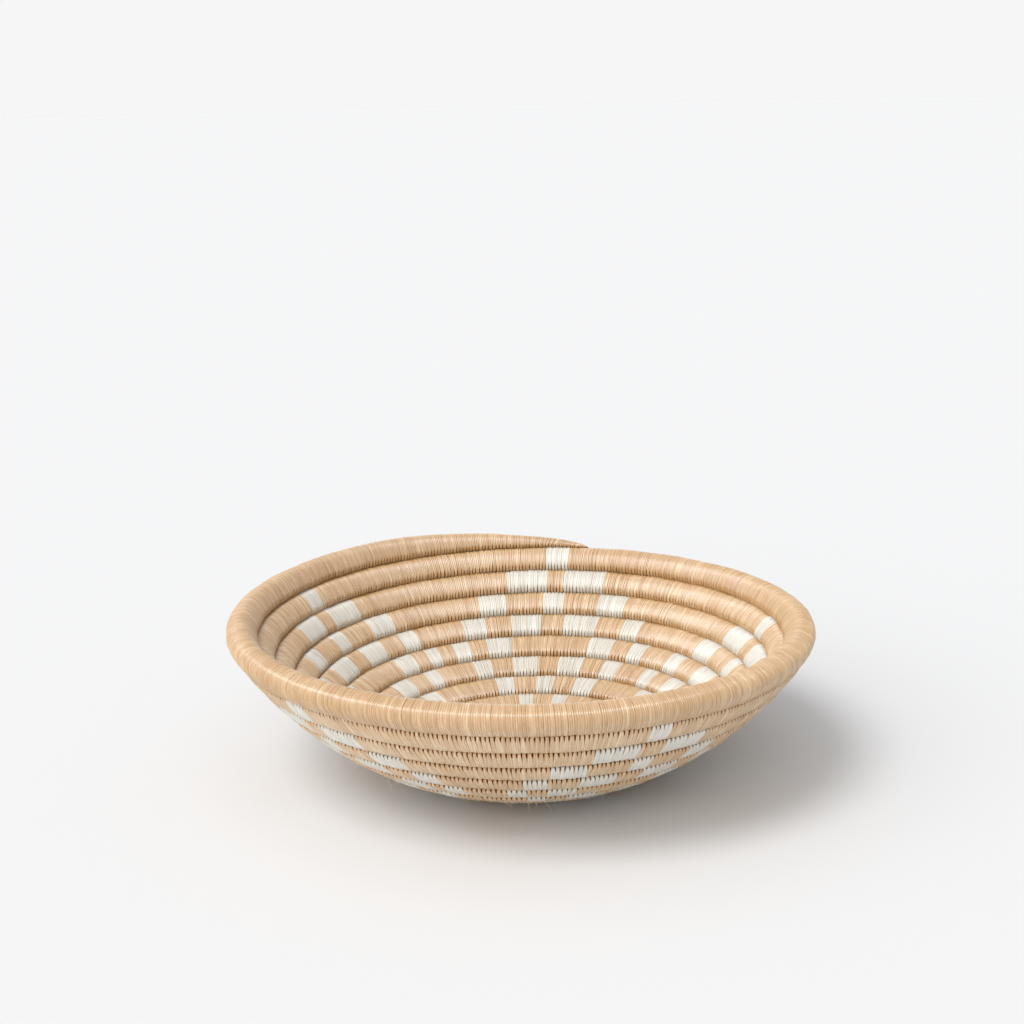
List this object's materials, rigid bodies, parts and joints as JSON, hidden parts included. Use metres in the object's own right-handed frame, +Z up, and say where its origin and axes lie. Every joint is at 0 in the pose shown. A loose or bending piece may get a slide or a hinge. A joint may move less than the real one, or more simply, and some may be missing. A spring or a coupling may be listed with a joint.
{
  "type": "coiled woven basket bowl",
  "caption": "Shallow round bowl of coiled grass wrapped and stitched with sisal, with a tapering coil end on the rim.",
  "frame": {"origin": "on the bowl's axis, at the underside of the base", "axes": "+Z up through the bowl's mouth; the tip of the rim's tail is 74 degrees round from +X towards +Y"},
  "size_m": [0.2498, 0.2496, 0.0751],
  "materials": {
    "natural_sisal": "satin",
    "white_sisal": "satin",
    "dry_grass": "matte"
  },
  "bodies": {
    "root": {"start_knot": "natural_sisal", "grass_core": "dry_grass", "sisal_wrap_round_01": "natural_sisal", "sisal_wrap_round_02": "natural_sisal", "sisal_wrap_round_03": "natural_sisal", "sisal_wrap_round_04": "natural_sisal", "sisal_wrap_round_05": "natural_sisal", "sisal_wrap_round_06": "natural_sisal", "sisal_wrap_round_07": "natural_sisal", "sisal_wrap_round_08": "natural_sisal", "sisal_wrap_round_09": "natural_sisal", "sisal_wrap_round_10": "natural_sisal", "sisal_wrap_round_11": "natural_sisal", "sisal_wrap_round_12": "natural_sisal", "sisal_wrap_tail": "natural_sisal"}
  },
  "joints": []
}
